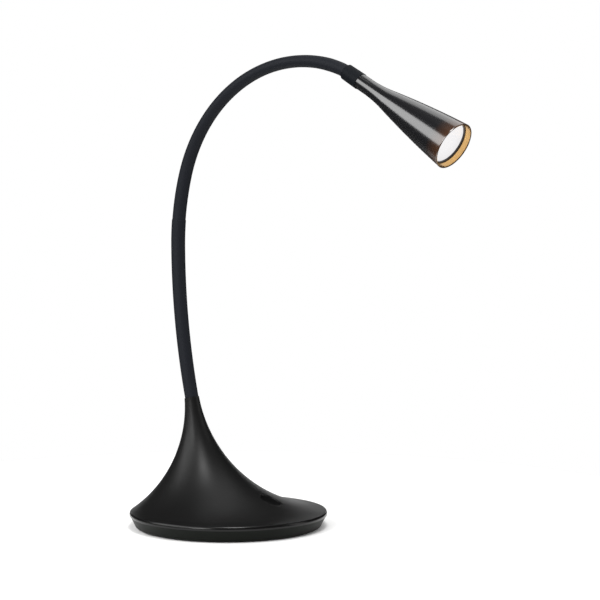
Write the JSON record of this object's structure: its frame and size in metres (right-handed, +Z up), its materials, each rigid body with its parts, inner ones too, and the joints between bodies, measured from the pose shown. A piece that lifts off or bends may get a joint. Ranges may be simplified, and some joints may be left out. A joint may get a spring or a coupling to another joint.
{
  "type": "gooseneck desk lamp",
  "caption": "Desk lamp with a weighted trumpet-shaped base, a push button on its slope, a flexible gooseneck arm and a slim conical head with a recessed round lens.",
  "frame": {"origin": "middle of the round base's foot, on the table", "axes": "+Z up; +X from the base's middle towards the push button, the front; +Y to the right of someone who faces the button"},
  "size_m": [0.3201, 0.1778, 0.4008],
  "materials": {
    "cover_plastic": "satin black moulding, fine grain",
    "pan_plastic": "glossy black moulding",
    "pad_foam": "matte foam rubber",
    "ballast_steel": "phosphated steel plate",
    "screw_steel": "zinc plated",
    "button_plastic": "satin black",
    "switch_plastic": "matte",
    "board_laminate": "green solder mask",
    "insulating_sheet": "plain film",
    "capacitor_can": "sleeved can",
    "inductor_ferrite": "ferrite grey",
    "gland_rubber": "matte",
    "fitting_steel": "zinc plated",
    "lead_sheath": "matte sheath",
    "gooseneck_sleeve": "satin black vinyl sleeve",
    "collar_lacquer": "gloss black lacquer",
    "head_lacquer": "gloss black lacquer",
    "sink_aluminium": "bare metal",
    "led_phosphor": "phosphor gel",
    "reflector_white": "white moulding",
    "opal_lens": "opal acrylic, satin",
    "ring_plastic": "matte",
    "mouth_gold": "polished gold coloured reflector band"
  },
  "bodies": {
    "base": {"base_cover": "cover_plastic", "base_plate": "pan_plastic", "antislip_pad": "pad_foam", "cord_gland": "gland_rubber", "gooseneck_link_01": "gooseneck_sleeve", "ballast_disc": "ballast_steel", "base_screws": "screw_steel", "push_switch": "switch_plastic", "switch_board": "board_laminate", "driver_insulator": "insulating_sheet", "driver_board": "board_laminate", "driver_capacitor": "capacitor_can", "driver_inductor": "inductor_ferrite", "neck_fitting": "fitting_steel", "neck_washer": "fitting_steel", "neck_nut": "fitting_steel", "neck_lead": "lead_sheath"},
    "button": {"switch_button": "button_plastic", "switch_plunger": "switch_plastic"},
    "arm_02": {"gooseneck_link_02": "gooseneck_sleeve"},
    "arm_03": {"gooseneck_link_03": "gooseneck_sleeve"},
    "arm_04": {"gooseneck_link_04": "gooseneck_sleeve"},
    "arm_05": {"gooseneck_link_05": "gooseneck_sleeve"},
    "arm_06": {"gooseneck_link_06": "gooseneck_sleeve"},
    "arm_07": {"gooseneck_link_07": "gooseneck_sleeve"},
    "arm_08": {"gooseneck_link_08": "gooseneck_sleeve"},
    "arm_09": {"gooseneck_link_09": "gooseneck_sleeve"},
    "head": {"gooseneck_link_10": "gooseneck_sleeve", "collar": "collar_lacquer", "head_shell": "head_lacquer", "lens": "opal_lens", "head_fitting": "fitting_steel", "heat_sink": "sink_aluminium", "led_board": "sink_aluminium", "led_chip": "led_phosphor", "reflector": "reflector_white", "head_lead": "lead_sheath", "lens_ring": "ring_plastic", "mouth_ring": "mouth_gold"}
  },
  "joints": [
    {"name": "arm_bend_01", "type": "hinge", "parent": "base", "child": "arm_02", "pos_m": [-0.03859, 0.00125, 0.1322], "axis": [0.274, 0.9617, 0], "range_deg": [-30, 22]},
    {"name": "arm_sway_02", "type": "hinge", "parent": "arm_02", "child": "arm_03", "pos_m": [-0.04497, 0.00307, 0.17704], "axis": [0.956, -0.2723, 0.109], "range_deg": [-25, 25]},
    {"name": "arm_bend_03", "type": "hinge", "parent": "arm_03", "child": "arm_04", "pos_m": [-0.04809, 0.00396, 0.22224], "axis": [0.274, 0.9617, 0], "range_deg": [-30, 22]},
    {"name": "arm_sway_04", "type": "hinge", "parent": "arm_04", "child": "arm_05", "pos_m": [-0.04694, 0.00363, 0.26751], "axis": [0.9548, -0.272, -0.1201], "range_deg": [-25, 25]},
    {"name": "arm_bend_05", "type": "hinge", "parent": "arm_05", "child": "arm_06", "pos_m": [-0.03706, 0.00081, 0.31156], "axis": [0.274, 0.9617, 0], "range_deg": [-35, 18]},
    {"name": "arm_sway_06", "type": "hinge", "parent": "arm_06", "child": "arm_07", "pos_m": [-0.01488, -0.0055, 0.35032], "axis": [0.7282, -0.2074, -0.6532], "range_deg": [-25, 25]},
    {"name": "arm_bend_07", "type": "hinge", "parent": "arm_07", "child": "arm_08", "pos_m": [0.01874, -0.01508, 0.37882], "axis": [0.274, 0.9617, 0], "range_deg": [-35, 14]},
    {"name": "arm_sway_08", "type": "hinge", "parent": "arm_08", "child": "arm_09", "pos_m": [0.05972, -0.02676, 0.3936], "axis": [0.1521, -0.0433, -0.9874], "range_deg": [-25, 25]},
    {"name": "arm_bend_09", "type": "hinge", "parent": "arm_09", "child": "head", "pos_m": [0.10308, -0.03911, 0.39278], "axis": [0.274, 0.9617, 0], "range_deg": [-35, 14]},
    {"name": "button_press", "type": "slide", "parent": "base", "child": "button", "axis": [-0.4208, 0, -0.9072], "range_m": [0, 0.0015], "stiffness_N_per_m": 2000, "springref_m": -0.0005}
  ]
}
